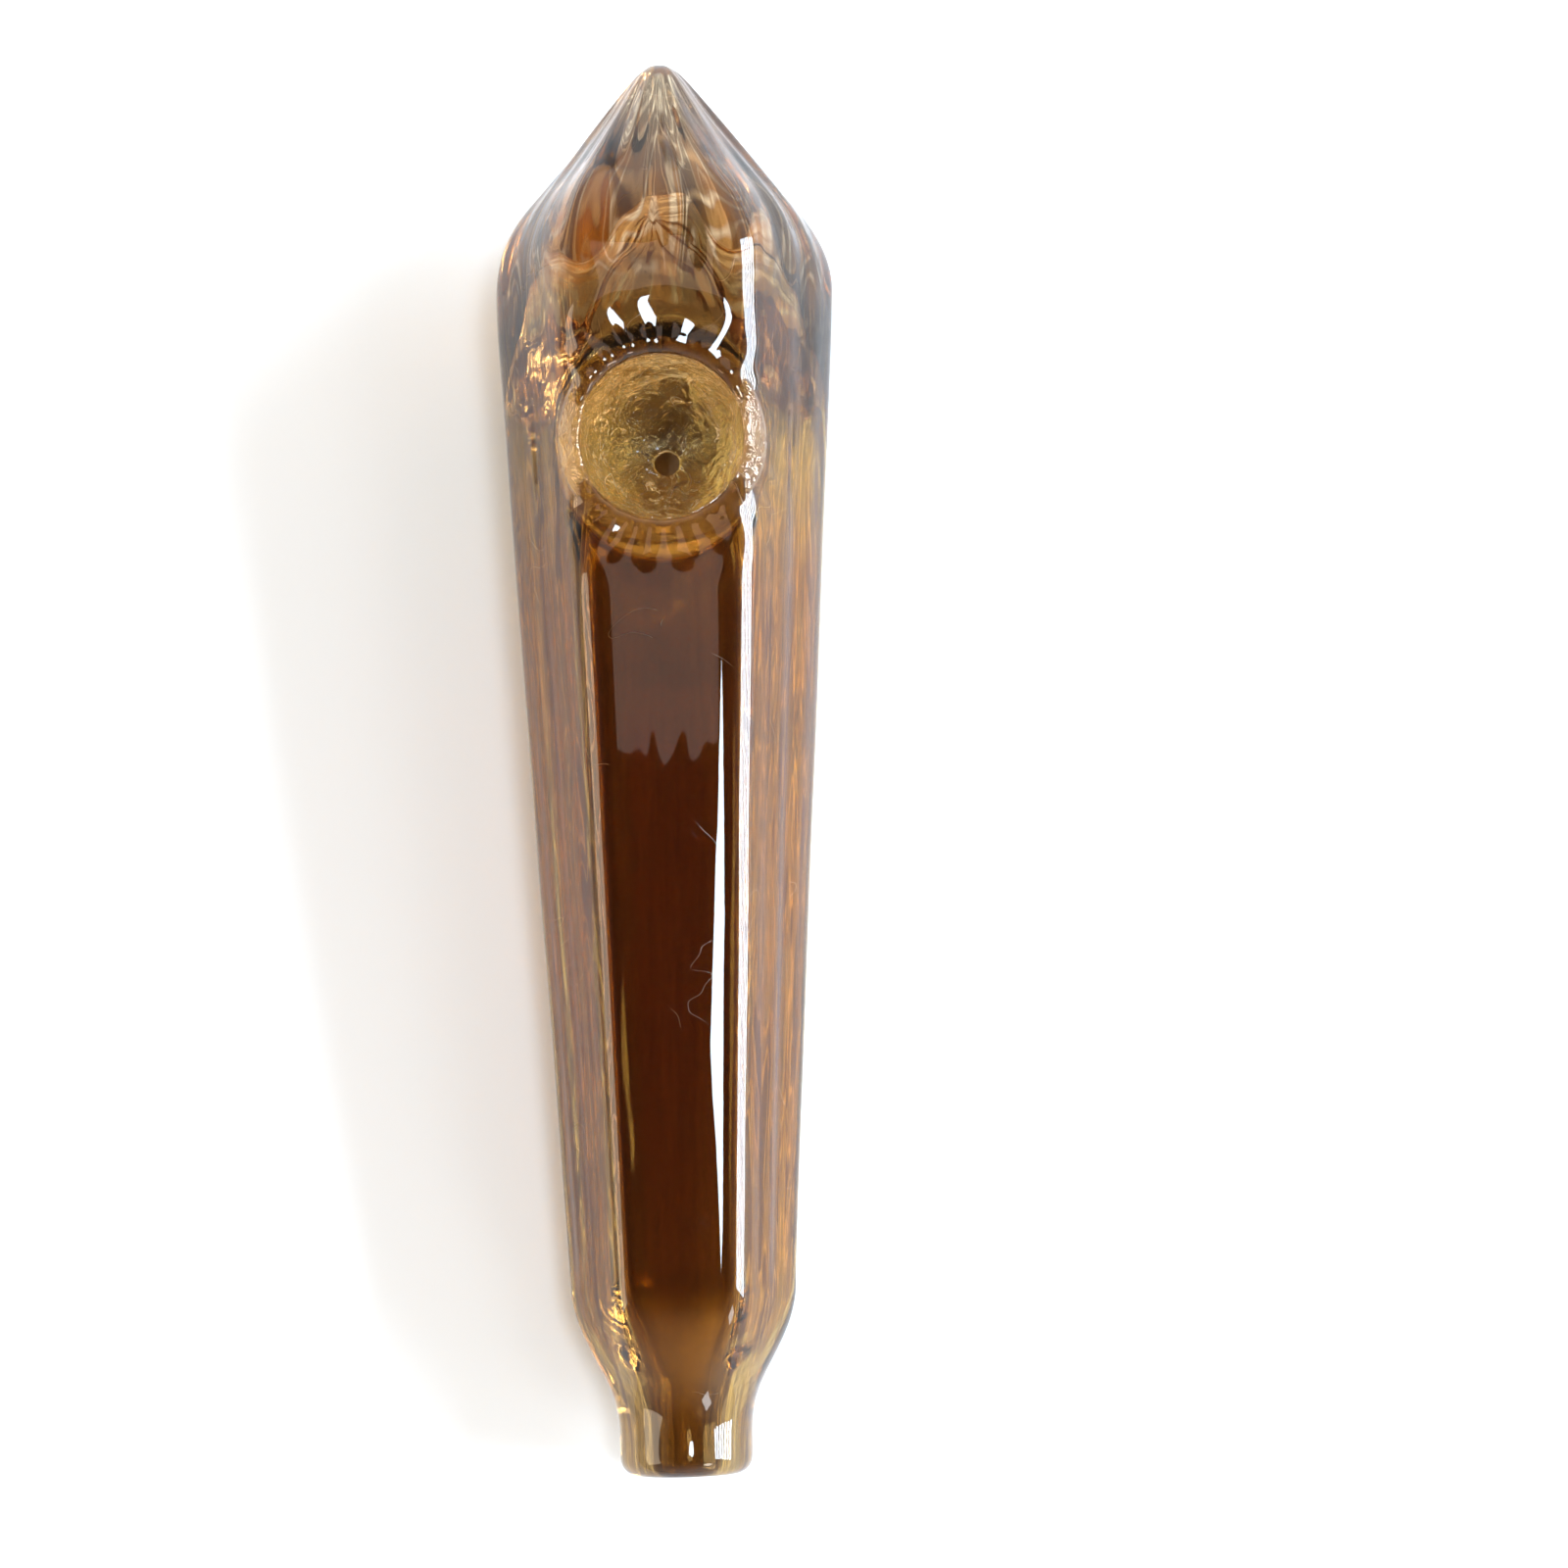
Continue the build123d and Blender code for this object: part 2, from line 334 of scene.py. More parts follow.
def bezier(start, leave, arrive, end, steps):
    """Rows on cubic curves between two rings of points, without their two ends."""
    u = np.linspace(0, 1, steps + 2)[1:-1, None, None]
    return (1 - u)**3 * start + 3 * (1 - u)**2 * u * leave + 3 * (1 - u) * u**2 * arrive + u**3 * end


def cup_profile(radius, straight, deep, low, steps):
    """Distance from the bowl's axis and depth of a cup: straight for a way, then a quarter ellipse down to its hole."""
    turn = np.linspace(0, math.acos(low / radius), steps)
    return radius * np.cos(turn), straight + deep * np.sin(turn)


def glass_shell(size):
    """The whole glass as one closed surface: outer skin, lip, bore and chamber, joined through the bowl, whose rim,
    cup, draught hole and outer wall are rings round the bowl's axis."""
    shell = Shell()
    angles = 2 * math.pi * np.arange(COLUMNS) / COLUMNS

    # outer skin, with a window for the bowl
    half_window, outer_half, inner_half = 12.0, 30, 42
    low, high = BOWL_AT - half_window, BOWL_AT + half_window
    outer_steps = 64
    lip_out, lip_in = 1.3, 1.0
    crown_start = 93.0
    reach = np.linspace(np.cbrt((TIP - crown_start + TIP_BLUNTNESS)**3 - TIP_BLUNTNESS**3), 0, 34)[1:-1]
    crown = TIP - (np.cbrt(reach**3 + TIP_BLUNTNESS**3) - TIP_BLUNTNESS)
    rows = np.concatenate([[lip_out], between(lip_out, 14, 34), between(14, low, 66), between(low, high, outer_steps),
                           between(high, crown_start, 22), crown])
    along, angle = np.meshgrid(rows, angles, indexing="ij")
    outer = shell.add(outer_skin(size, angle, along), 0.0)
    first = 34 + 66
    shell.join(outer, window_cells(outer.shape, first, first + outer_steps, outer_half))
    tip = shell.add(place(np.zeros(1), np.zeros(1), np.array([TIP])), 0.0)
    shell.cap(outer[-1], tip[0])
    edge, edge_row, edge_column = window_edge(outer, first, first + outer_steps, outer_half)
    edge_angle, edge_along = edge_column * (2 * math.pi / COLUMNS), rows[edge_row]

    # bore and chamber, with a wider window
    inner_steps = outer_steps + 2 * (outer_half - inner_half)
    inner_low, inner_high = BOWL_AT - 11.0, BOWL_AT + 11.0
    dome = size["chamber_end"] - (size["chamber_end"] - inner_high) * np.linspace(1, 0, 26)[1:-1]**2
    inner_rows = np.concatenate([[lip_in], between(lip_in, 15, 32), between(15, inner_low, 50),
                                 between(inner_low, inner_high, inner_steps), dome])
    along, angle = np.meshgrid(inner_rows, angles, indexing="ij")
    inner = shell.add(inner_skin(size, angle, along), ease((along - 2.5) / 9))
    inner_first = 32 + 50
    shell.join(inner, window_cells(inner.shape, inner_first, inner_first + inner_steps, inner_half))
    pole = shell.add(place(np.zeros(1), np.zeros(1), np.array([size["chamber_end"]])), 1.0)
    shell.cap(inner[-1], pole[0])
    inside, inside_row, inside_column = window_edge(inner, inner_first, inner_first + inner_steps, inner_half)
    inside_angle, inside_along = inside_column * (2 * math.pi / COLUMNS), inner_rows[inside_row]

    # fire-polished lip: half an ellipse from the neck round to the bore
    turn = np.linspace(0, math.pi, 15)[1:-1, None]
    middle, half = (NECK_RADIUS + BORE_RADIUS) / 2, (NECK_RADIUS - BORE_RADIUS) / 2
    depth = np.where(turn < math.pi / 2, lip_out, lip_in)
    ring_radius = middle + half * np.cos(turn) + 0 * angles
    ring_along = depth * (1 - np.sin(turn)) + 0 * angles
    lip = shell.add(place(ring_radius * np.sin(angles), ring_radius * np.cos(angles), ring_along), 0.0)
    shell.join(np.concatenate([outer[:1], lip, inner[:1]]))

    # from the outer window to the rim, on the outer skin
    count = len(edge)
    turn = 2 * math.pi * np.arange(count) / count
    rim = rim_radius(size)
    rim_along = BOWL_AT + rim * np.sin(turn) * ALONG[1]
    rim_angle = np.arctan2(rim * np.cos(turn), facet_line(rim_along))
    for _ in range(12):
        radius = outer_radius(size, rim_angle, rim_along)
        rim_angle = np.arctan2(rim * np.cos(turn), radius * np.cos(rim_angle))
    share = between(0, 1, 16)[:, None]
    share = 1 - (1 - share)**1.25
    facet_rows = outer_skin(size, edge_angle + (rim_angle - edge_angle) * share,
                            edge_along + (rim_along - edge_along) * share)
    away = np.hypot(*bowl_view(facet_rows)[:2])
    pucker = size["pucker"] * ease((rim + 4.0 - away) / 4.0) * np.sin(22 * turn + 1.5 * np.sin(3 * turn))
    facet_rows = facet_rows - (0.5 * size["pucker"] * ease((rim + 4.0 - away) / 4.0) + 0.5 * pucker)[..., None] * BOWL_UP
    rings, films = [facet_rows], [np.zeros(len(facet_rows))]

    # the rim turns down into the cup
    cup_top = 1.9
    inward = facet_rows[-1] - facet_rows[-2]
    inward /= np.linalg.norm(inward, axis=1, keepdims=True)
    top = bowl_place(np.full(count, BOWL_RADIUS), turn, np.full(count, -cup_top))
    rings.append(bezier(facet_rows[-1], facet_rows[-1] + 1.0 * inward, top + 1.1 * BOWL_UP, top, 11))
    films.append(np.zeros(11))

    # inside of the cup, the draught hole and the outside of the cup
    straight, hole = 4.0, size["draught_hole"]
    away, deep = cup_profile(BOWL_RADIUS, straight, size["cup_depth"] - straight, hole + 0.35, 24)
    wall_radius = BOWL_RADIUS + size["cup_wall"]
    back_away, back_deep = cup_profile(wall_radius, straight, size["cup_depth"] + size["cup_wall"] - straight,
                                       hole + 0.4, 26)
    side_away, side_deep = np.full(4, BOWL_RADIUS), np.linspace(cup_top, straight, 5)[:-1]
    bend = np.radians([22, 45, 68, 90])
    hole_away = hole + 0.35 * (1 - np.sin(bend))
    hole_deep = deep[-1] + 0.45 * (1 - np.cos(bend))
    out_away = hole + 0.4 * (1 - np.cos(bend))[:-1]
    out_deep = back_deep[-1] - 0.45 * (1 - np.sin(bend))[:-1]
    profile_away = np.concatenate([side_away, away, hole_away, out_away, back_away[::-1]])
    profile_deep = np.concatenate([side_deep, deep, hole_deep, out_deep, back_deep[::-1]])
    inside_count = len(side_away) + len(away)
    films.append(np.concatenate([np.linspace(0, 0.03, inside_count), np.linspace(0.03, 0.15, len(profile_away) - inside_count)]))

    # fillet from the cup's outer wall into the chamber, whose own rings keep to the chamber's wall
    join_away = np.hypot((wall_radius + 0.45) * np.cos(turn), (wall_radius + 2.2) * np.sin(turn))
    join_turn = np.arctan2((wall_radius + 2.2) * np.sin(turn), (wall_radius + 0.45) * np.cos(turn))
    side = join_away * np.cos(join_turn)
    join_along = BOWL_AT + join_away * np.sin(join_turn)
    join_angle = np.arcsin(np.clip(side / 9, -1, 1))
    for _ in range(12):
        radius = inner_radius(size, join_angle, join_along)
        join_angle = np.arcsin(np.clip(side / radius, -1, 1))
    share = np.concatenate([[0], between(0, 1, 15)[:-1]])[:, None]
    chamber_rows = inner_skin(size, join_angle + (inside_angle - join_angle) * share,
                              join_along + (inside_along - join_along) * share)
    steps = np.arange(len(profile_away))[:, None]
    outside = ease((steps - inside_count - 8) / 8) * ease((len(profile_away) - steps) / 8)
    inner_waves = ease(steps / 6) * ease((inside_count - 8 - steps) / 6)
    waves = np.sin(5 * turn + 2.2 * np.sin(steps / 4.1)) + np.sin(9 * turn - steps / 2.3 + 1.1) + np.sin(2 * turn + steps / 3)
    sway = size["cup_waves"] * waves / 3 * (outside + 0.35 * inner_waves)
    rings.append(bowl_place(profile_away[:, None] + sway, turn + 0 * profile_away[:, None],
                            -profile_deep[:, None] + 0.6 * sway))
    height = bowl_view(chamber_rows[0])[2]
    wall_top = bowl_place(np.full(count, wall_radius), turn, np.minimum(-straight + 0.2, height - 0.6))
    inward = chamber_rows[0] - chamber_rows[1]
    inward /= np.linalg.norm(inward, axis=1, keepdims=True)
    lift = 0.75
    rings.append(np.concatenate([wall_top[None], bezier(wall_top, wall_top + lift * BOWL_UP,
                                                        chamber_rows[0] + lift * inward, chamber_rows[0], 9)]))
    films.append(np.linspace(0.32, 1, 10))
    rings.append(chamber_rows)
    films.append(np.ones(len(chamber_rows)))
    bowl = shell.add(np.concatenate(rings), np.concatenate(films)[:, None])
    shell.join(np.concatenate([edge[None], bowl, inside[None]]))
    return shell


def outer_radius(size, angle, along):
    """The outer skin's distance from the pipe's axis."""
    offset = outer_skin(size, angle, along) - MOUTH
    return np.hypot(offset @ RIGHT, offset @ UP)


def inner_radius(size, angle, along):
    """The inner skin's distance from the pipe's axis."""
    offset = inner_skin(size, angle, along) - MOUTH
    return np.hypot(offset @ RIGHT, offset @ UP)


def mesh_from(name, shell):
    """A closed mesh in metres from a shell, its unused points left out, its film kept as an attribute."""
    points, film = np.concatenate(shell.points) * MM, np.concatenate(shell.film)
    used = np.unique(np.concatenate([np.array(face) for face in shell.faces]))
    renumbered = np.full(len(points), -1)
    renumbered[used] = np.arange(len(used))
    mesh = bpy.data.meshes.new(name)
    mesh.from_pydata(points[used].tolist(), [], [renumbered[list(face)].tolist() for face in shell.faces])
    form = bmesh.new()
    form.from_mesh(mesh)
    bmesh.ops.recalc_face_normals(form, faces=form.faces)
    if form.calc_volume(signed=True) < 0:
        bmesh.ops.reverse_faces(form, faces=form.faces)
    open_edges = sum(not edge.is_manifold for edge in form.edges)
    form.to_mesh(mesh)
    form.free()
    if open_edges:
        raise RuntimeError(f"{name} is not closed: {open_edges} open edges")
    mesh.polygons.foreach_set("use_smooth", np.ones(len(mesh.polygons), bool))
    mesh.attributes.new("film", "FLOAT", "POINT").data.foreach_set("value", film[used].astype(np.float32))
    along = ((points[used] / MM - MOUTH) @ ALONG / TIP).astype(np.float32)
    mesh.attributes.new("along", "FLOAT", "POINT").data.foreach_set("value", along)
    across = np.stack([(points[used] / MM - MOUTH) @ RIGHT, (points[used] / MM - MOUTH) @ UP], 1)
    across /= np.maximum(np.linalg.norm(across, axis=1, keepdims=True), 1e-6)
    turn = np.concatenate([across, along[:, None]], 1).astype(np.float32)
    side, ahead, height = bowl_view(points[used] / MM)
    is_cup = (np.hypot(side, ahead) < BOWL_RADIUS + CUP_MARK_REACH) & (height < -CUP_MARK_TOP) & (height > -CUP_MARK_END)
    mesh.attributes.new("cup", "FLOAT", "POINT").data.foreach_set("value", is_cup.astype(np.float32))
    mesh.attributes.new("turn", "FLOAT_VECTOR", "POINT").data.foreach_set("vector", turn.ravel())
    return mesh


# ---------------------------------------------------------------- materials


class Number:
    """A number socket that can stand in sums."""

    def __init__(self, recipe, socket):
        self.recipe, self.socket = recipe, socket

    def sum(self, operation, *values):
        return self.recipe.node("ShaderNodeMath", {"operation": operation}, dict(enumerate(values)))

    def __add__(self, other):
        return self.sum("ADD", self, other)

    __radd__ = __add__

    def __sub__(self, other):
        return self.sum("SUBTRACT", self, other)

    def __rsub__(self, other):
        return self.sum("SUBTRACT", other, self)

    def __mul__(self, other):
        return self.sum("MULTIPLY", self, other)

    __rmul__ = __mul__


class Recipe:
    """The node tree of one material or of the surroundings."""

    def __init__(self, owner):
        owner.use_nodes = True
        self.tree = owner.node_tree
        self.tree.nodes.clear()

    def node(self, kind, settings, sockets, output=0):
        """A node of a kind: its settings first, then the values or links of its sockets. Gives one output."""
        made = self.tree.nodes.new(kind)
        for name, value in settings.items():
            if name == "stops":
                self.set_stops(made.color_ramp.elements, value)
            else:
                setattr(made, name, value)
        for name, value in sockets.items():
            if isinstance(value, Number):
                self.tree.links.new(value.socket, made.inputs[name])
            else:
                made.inputs[name].default_value = value
        return Number(self, made.outputs[output]) if len(made.outputs) else made

    @staticmethod
    def set_stops(elements, stops):
        """Sets a ramp's stops, in order, from pairs of a place and a colour or grey."""
        elements.remove(elements[-1])
        for number, (at, value) in enumerate(stops):
            element = elements.new(at) if number else elements[0]
            element.position = at
            element.color = (*value, 1) if hasattr(value, "__len__") else (value, value, value, 1)

    def mix(self, share, first, second):
        """A colour between two."""
        settings = {"data_type": "RGBA", "clamp_factor": True}
        first = first if isinstance(first, Number) else (*first, 1)
        second = second if isinstance(second, Number) else (*second, 1)
        return self.node("ShaderNodeMix", settings, {0: share, 6: first, 7: second}, 2)

    def noise(self, where, scale, detail=2.0, roughness=0.5, distortion=0.0):
        """Smooth noise of a scale per metre."""
        sockets = {"Vector": where, "Scale": scale, "Detail": detail, "Roughness": roughness, "Distortion": distortion}
        return self.node("ShaderNodeTexNoise", {}, sockets)

    def stretched(self, where, across, lengthwise):
        """Coordinates turned to the pipe's axis and pressed along it, so that a pattern draws out along the glass."""
        sockets = {"Vector": where, "Rotation": (-math.atan(TAPER), 0, 0), "Scale": (across, lengthwise, across)}
        return self.node("ShaderNodeMapping", {"vector_type": "POINT"}, sockets)

    def ramp(self, value, stops):
        """A colour or grey by a value, between stops."""
        return self.node("ShaderNodeValToRGB", {"stops": stops}, {"Fac": value})


def lustre_skin(recipe, colours, along):
    """The outer surface's tint: gold, umber and olive bands along the barrel, the umber also painted as shade on the
    ridges, greyer over the crown, with painted highlight lines along the sides, painted glow patches where the crown
    meets the barrel, and pale painted highlight streaks that gather at the tip. The patterns are noise on the direction
    from the pipe's axis, drawn out along it."""
    turn = recipe.node("ShaderNodeAttribute", {"attribute_name": "turn"}, {}, "Vector")
    upright = recipe.node("ShaderNodeSeparateXYZ", {}, {"Vector": turn}, "Y")
    drawn = recipe.node("ShaderNodeMapping", {"vector_type": "POINT"}, {"Vector": turn, "Scale": (1, 1, 0.8)})
    wide = recipe.noise(drawn, 3.1, 2.0, 0.55, 0.3)
    narrow = recipe.noise(drawn, 8.0, 2.5, 0.55, 0.5)
    bands = recipe.ramp(wide * 0.5 + narrow * 0.5, [(0.42, colours.umber_and_ridge_shade), (0.47, colours.gold),
                                                    (0.51, colours.olive_skin), (0.55, colours.gold),
                                                    (0.60, colours.umber_and_ridge_shade)])
    side = recipe.ramp(upright * upright, [(0.0, 1.0), (0.755, 1.0), (0.80, 0.0)])
    is_crown = recipe.ramp(along, [(0.0, 0.45), (0.10, 0.0), (0.85, 0.0), (0.90, 1.0)])
    is_dome = recipe.ramp(along, [(0.70, 0.0), (0.76, 1.0), (0.865, 1.0), (0.895, 0.0)])
    ground = recipe.mix(side, colours.facet, bands)
    # painted shade: the ridges darkened with umber
    ridge = recipe.ramp(upright * upright, [(0.58, 0.0), (0.66, 0.7), (0.84, 0.7), (0.90, 0.0)])
    ground = recipe.mix(ridge, ground, colours.umber_and_ridge_shade)
    ground = recipe.mix(is_crown, ground, colours.crown)
    ground = recipe.mix(is_dome * 0.95, ground, colours.dome)
    # painted highlight lines along the sides, from thin bands of the narrow noise
    thin = [(0.38, 0.0), (0.405, 0.9), (0.43, 0.0), (0.49, 0.0), (0.51, 1.0), (0.53, 0.0), (0.59, 0.0), (0.61, 0.8),
            (0.63, 0.0)]
    strength = recipe.ramp(along, [(0.0, 0.9), (0.70, 0.9), (0.84, 0.0)])
    ground = recipe.mix(recipe.ramp(narrow, thin) * side * strength, ground, colours.painted_side_highlight)
    pulled = recipe.node("ShaderNodeMapping", {"vector_type": "POINT"}, {"Vector": turn, "Scale": (1, 1, 2.2)})
    flow = recipe.noise(pulled, 2.9, 1.3, 0.5, 0.7)
    # painted highlight streaks over the crown, in place of bright light seen through it
    painted_highlight_streaks = recipe.ramp(flow, [(0.33, 0.0), (0.345, 1.0), (0.36, 0.0), (0.405, 0.0), (0.42, 1.0), (0.435, 0.0),
                                    (0.475, 0.0), (0.49, 1.0), (0.51, 0.0), (0.555, 0.0), (0.57, 1.0), (0.585, 0.0),
                                    (0.63, 0.0), (0.65, 1.0), (0.67, 0.0)])
    near_crown = recipe.ramp(along, [(0.81, 0.0), (0.86, 1.0)])
    # painted glow patches at the crown's ridges and corners
    painted_glow = recipe.ramp(flow, [(0.50, 0.0), (0.56, 1.0), (0.70, 0.2)])
    corner = recipe.ramp(along, [(0.80, 0.0), (0.85, 1.0), (0.89, 1.0), (0.94, 0.0)])
    at_ridge = recipe.ramp(upright * upright, [(0.50, 0.0), (0.66, 1.0), (0.84, 1.0), (0.92, 0.0)])
    ground = recipe.mix((painted_glow * 0.6 + at_ridge * 0.5) * corner, ground, colours.painted_glow)
    return recipe.mix(painted_highlight_streaks * near_crown, ground, colours.painted_streak_highlight)


def amber_glass(colours):
    """Amber glass: clear outside with fine scratches, painted highlights, glow and shade in its outer tint, painted
    glints in the bowl, and on the chamber's wall a brown film with draw marks.
    """
    material = bpy.data.materials.new("amber_glass")
    recipe = Recipe(material)
    where = recipe.node("ShaderNodeTexCoord", {}, {}, "Object")
    film = recipe.node("ShaderNodeAttribute", {"attribute_name": "film"}, {}, "Fac")
    along = recipe.node("ShaderNodeAttribute", {"attribute_name": "along"}, {}, "Fac")

    # film colour: draw marks along the barrel, olive towards the dome, paler at the neck
    fine = recipe.noise(recipe.stretched(where, 1.0, 0.02), 1500, 3.0, 0.6)
    broad = recipe.noise(recipe.stretched(where, 1.0, 0.06), 260, 2.0, 0.5, 0.6)
    draw = recipe.ramp(fine * 0.55 + broad * 0.45, [(0.40, 0.0), (0.66, 1.0)])
    film_colour = recipe.mix(draw, colours.amber, colours.brown)
    dome = recipe.ramp(along, [(0.0, 0.75), (0.13, 0.35), (0.30, 0.0), (0.62, 0.05), (0.71, 0.9), (0.86, 1.0)])
    film_colour = recipe.mix(dome, film_colour, colours.olive)
    skin = lustre_skin(recipe, colours, along)
    cup = recipe.node("ShaderNodeAttribute", {"attribute_name": "cup"}, {}, "Fac")
    # painted glints: highlight specks painted into the bowl's colour
    painted_glint = recipe.ramp(recipe.noise(where, 300, 3.0, 0.6, 1.5), [(0.43, 0.0), (0.50, 1.0), (0.57, 0.0)])
    skin = recipe.mix(cup, skin, recipe.mix(painted_glint, colours.cup, colours.painted_streak_highlight))
    base = recipe.mix(film, skin, film_colour)

    # fine scratches and rub marks on the outside
    rub = recipe.noise(recipe.stretched(where, 1.0, 0.35), 900, 4.0, 0.65, 1.5)
    rub = recipe.ramp(rub, [(0.60, 0.0), (0.80, 1.0)])
    hair = recipe.noise(recipe.stretched(where, 1.0, 0.8), 110, 1.0, 0.5, 2.0)
    hair = recipe.ramp(hair, [(0.496, 0.0), (0.50, 1.0), (0.504, 0.0)])
    patchy = recipe.ramp(recipe.noise(where, 160, 1.0), [(0.55, 0.0), (0.62, 1.0)])
    scratch = hair * patchy * (1 - film)
    roughness = film * 0.05 + rub * 0.03 + scratch * 0.35 + 0.012

    # hand-worked ripples, drawn out along the glass
    ripple = recipe.noise(recipe.stretched(where, 1.0, 0.10), 220, 1.5, 0.45, 0.4)
    fine_ripple = recipe.noise(recipe.stretched(where, 1.0, 0.03), 900, 1.0, 0.5)
    crumple = recipe.noise(where, 330, 3.0, 0.55, 1.2)
    height = ripple + fine_ripple * (film * 0.20 + 0.04) + crumple * cup * 7.5
    bump = recipe.node("ShaderNodeBump", {}, {"Strength": 1.0, "Distance": 0.00012, "Height": height})

    sockets = {"Base Color": base, "Roughness": roughness, "Normal": bump, "Transmission Weight": 1.0, "IOR": 1.5}
    glass = recipe.node("ShaderNodeBsdfPrincipled", {}, sockets)
    body = recipe.node("ShaderNodeVolumeAbsorption", {}, {"Color": (*colours.body, 1), "Density": colours.body_density})
    recipe.node("ShaderNodeOutputMaterial", {}, {"Surface": glass, "Volume": body})
    return material


def floor_paint(look):
    """A plain pale floor with a faint mottle."""
    material = bpy.data.materials.new("floor_paint")
    recipe = Recipe(material)
    where = recipe.node("ShaderNodeTexCoord", {}, {}, "Object")
    mottle = recipe.noise(where, 30, 3.0)
    shade = recipe.mix(mottle * 0.06, look.floor, [0.9 * part for part in look.floor])
    matt = recipe.node("ShaderNodeBsdfPrincipled", {}, {"Base Color": shade, "Roughness": 0.9,
                                                        "Specular IOR Level": 0.0})
    recipe.node("ShaderNodeOutputMaterial", {}, {"Surface": matt})
    return material


# ---------------------------------------------------------------- operators


class GLASSPIPE_OT_body(bpy.types.Operator):
    """Builds the glass of the pipe as one closed piece"""

    bl_idname = "glass_pipe.body"
    bl_label = "Glass body"

    def execute(self, context):
        size = millimetres(context.scene.pipe_sizes)
        body = bpy.data.objects.new("glass_body", mesh_from("glass_body", glass_shell(size)))
        context.scene.collection.objects.link(body)
        body.data.materials.append(amber_glass(context.scene.glass_colours))
        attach(body, "root")
        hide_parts(*sorted(frame["nodes"]))
        return {"FINISHED"}


def panel_light(name, centre, aim, width, height, colour_of_light, radiance):
    """A rectangular light that faces a point, as bright as a panel of the given radiance."""
    light = bpy.data.lights.new(name, "AREA")
    light.shape = "RECTANGLE"
    light.size, light.size_y = width * MM, height * MM
    light.color = colour_of_light
    light.energy = radiance * math.pi * light.size * light.size_y
    lamp = bpy.data.objects.new(name, light)
    lamp.location = Vector(centre) * MM
    lamp.rotation_euler = ((Vector(aim) - Vector(centre)) * MM).to_track_quat("-Z", "Y").to_euler()
    bpy.context.scene.collection.objects.link(lamp)
    return lamp


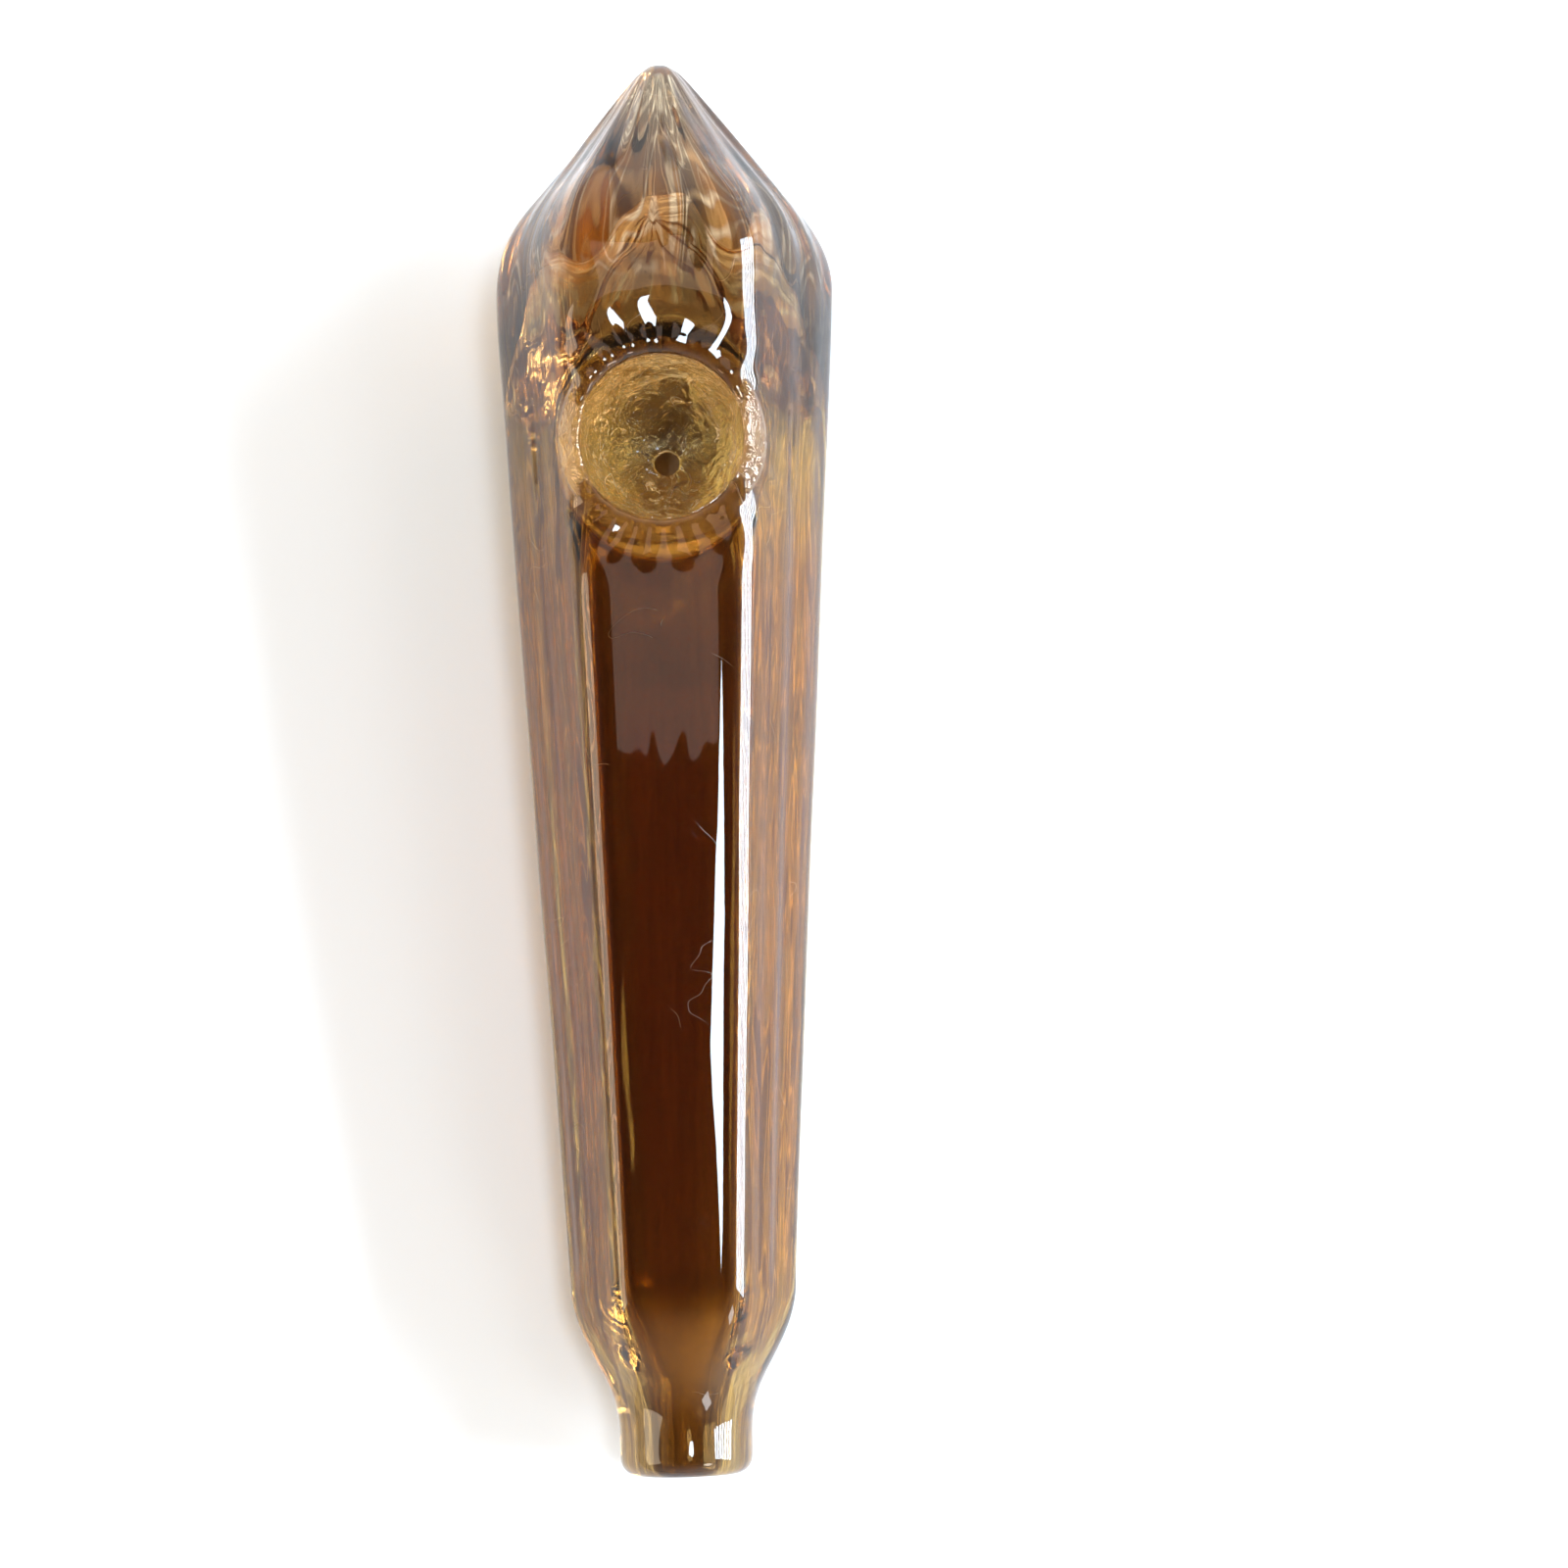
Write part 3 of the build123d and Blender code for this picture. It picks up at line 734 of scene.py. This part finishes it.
class GLASSPIPE_OT_stage(bpy.types.Operator):
    """Builds the floor, the studio light and the camera"""

    bl_idname = "glass_pipe.stage"
    bl_label = "Stage"

    def execute(self, context):
        scene, look = context.scene, context.scene.stage_look
        self.lay_floor(scene, look)
        self.light_room(scene, look)
        self.set_camera(scene, look)
        return {"FINISHED"}

    @staticmethod
    def lay_floor(scene, look):
        """A wide flat floor just under the glass."""
        reach, below = 3.0, -0.00015
        mesh = bpy.data.meshes.new("floor")
        mesh.from_pydata([(-reach, -reach, below), (reach, -reach, below), (reach, reach, below), (-reach, reach, below)],
                         [], [(0, 1, 2, 3)])
        floor = bpy.data.objects.new("floor", mesh)
        floor.data.materials.append(floor_paint(look))
        scene.collection.objects.link(floor)

    @staticmethod
    def light_room(scene, look):
        """Soft surroundings that are dark overhead and pale low down, a slatted window and two soft panels."""
        world = bpy.data.worlds.new("room")
        scene.world = world
        recipe = Recipe(world)
        direction = recipe.node("ShaderNodeTexCoord", {}, {}, "Generated")
        height = recipe.node("ShaderNodeSeparateXYZ", {}, {"Vector": direction}, "Z")
        sky = recipe.ramp(height, [(0.0, (1.0, 0.99, 0.97)), (0.30, (0.95, 0.94, 0.92)), (0.62, (0.45, 0.43, 0.42)),
                                   (0.88, (0.08, 0.07, 0.05))])
        sideways = recipe.node("ShaderNodeSeparateXYZ", {}, {"Vector": direction}, "X")
        brightness = recipe.ramp(sideways * 0.5 + 0.5, [(0.10, 0.50), (0.45, 0.75), (0.75, 1.0)])
        room = recipe.node("ShaderNodeBackground", {}, {"Color": sky, "Strength": brightness * 1.75})
        recipe.node("ShaderNodeOutputWorld", {}, {"Surface": room})
        middle = (0, 0, 10)
        for slat in range(7):
            panel_light(f"window_{slat}", (620, 60, 80 + 70 * slat), middle, 560, 40, look.daylight, 33.0)
        panel_light("ceiling_panel", (-30, 126, 640), (-30, 126, 0), 215, 280, (1.0, 0.80, 0.70), 1.3)
        panel_light("skylight", (112, -80, 640), middle, 130, 110, look.daylight, 34.0)
        panel_light("left_panel", (-560, -120, 330), middle, 420, 300, (1.0, 0.88, 0.68), 4.5)
        panel_light("front_panel", (380, -440, 430), middle, 150, 130, (0.92, 0.97, 1.0), 9.0)
        scene.view_settings.view_transform = "Standard"
        scene.cycles.max_bounces = 24
        scene.cycles.transmission_bounces = 24
        scene.cycles.glossy_bounces = 12
        scene.cycles.sample_clamp_indirect = 8

    @staticmethod
    def set_camera(scene, look):
        """A camera above the pipe that leans towards the mouth and is turned a little."""
        target = Vector((8.16, -2.45, 8.0)) * MM
        back = Vector((0, -math.sin(look.tilt), math.cos(look.tilt)))
        right = Vector((1, 0, 0))
        above = back.cross(right)
        turned_right = math.cos(look.roll) * right + math.sin(look.roll) * above
        turned_above = back.cross(turned_right)
        data = bpy.data.cameras.new("camera")
        data.angle = look.field
        data.clip_start = 0.01
        camera = bpy.data.objects.new("camera", data)
        scene.collection.objects.link(camera)
        turn = Matrix((turned_right, turned_above, back)).transposed().to_4x4()
        camera.matrix_world = Matrix.Translation(target + look.distance * back) @ turn
        scene.camera = camera


class GLASSPIPE_PT_panel(bpy.types.Panel):
    """Lists what builds the pipe"""

    bl_label = "Glass Pipe"
    bl_idname = "GLASSPIPE_PT_panel"
    bl_space_type = "VIEW_3D"
    bl_region_type = "UI"
    bl_category = "Glass Pipe"

    def draw(self, context):
        for group in ("pipe_sizes", "glass_colours", "stage_look"):
            box = self.layout.box()
            values = getattr(context.scene, group)
            for name in values.bl_rna.properties.keys():
                if name not in ("rna_type", "name"):
                    box.prop(values, name)
        for step in STEPS:
            self.layout.operator(step.bl_idname)


GROUPS = {"pipe_sizes": PipeSizes, "glass_colours": GlassColours, "stage_look": StageLook}
STEPS = (GLASSPIPE_OT_body, GLASSPIPE_OT_stage)


def register():
    """Makes the groups, steps and panel known."""
    for part in (*GROUPS.values(), *STEPS, GLASSPIPE_PT_panel):
        bpy.utils.register_class(part)
    for name, group in GROUPS.items():
        setattr(bpy.types.Scene, name, bpy.props.PointerProperty(type=group))


def unregister():
    """Takes them away again."""
    for name in GROUPS:
        delattr(bpy.types.Scene, name)
    for part in reversed((*GROUPS.values(), *STEPS, GLASSPIPE_PT_panel)):
        bpy.utils.unregister_class(part)


def main():
    """Builds everything in order."""
    register()
    bpy.ops.glass_pipe.body()
    bpy.ops.glass_pipe.stage()


if __name__ == "__main__":
    main()
